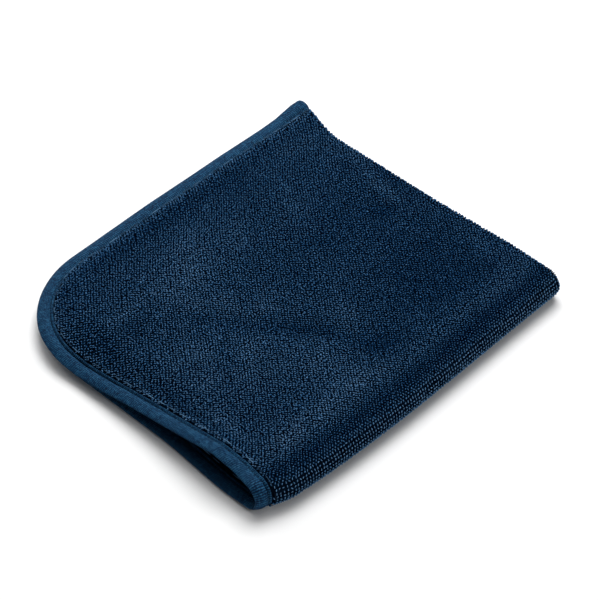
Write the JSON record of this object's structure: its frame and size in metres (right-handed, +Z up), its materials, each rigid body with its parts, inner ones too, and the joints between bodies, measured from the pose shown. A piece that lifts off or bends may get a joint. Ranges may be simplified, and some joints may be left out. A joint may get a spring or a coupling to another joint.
{
  "type": "microfibre cloth",
  "caption": "Looped microfibre drying cloth with rounded corners and a knitted tape binding, folded in four and lying flat on a surface.",
  "frame": {"origin": "centre of the bounding box of the folded cloth, at the surface it lies on", "axes": "+Z up; +X from the open bound edges to the first fold; +Y from the last fold to the open bound edges at the back"},
  "size_m": [0.2889, 0.2554, 0.0246],
  "materials": {
    "looped_microfibre": "dark navy twisted loops, matt with a soft sheen",
    "knitted_tape": "mid blue fine cross ribs, matt"
  },
  "bodies": {
    "root": {"cloth": "looped_microfibre", "binding": "knitted_tape"}
  },
  "joints": []
}
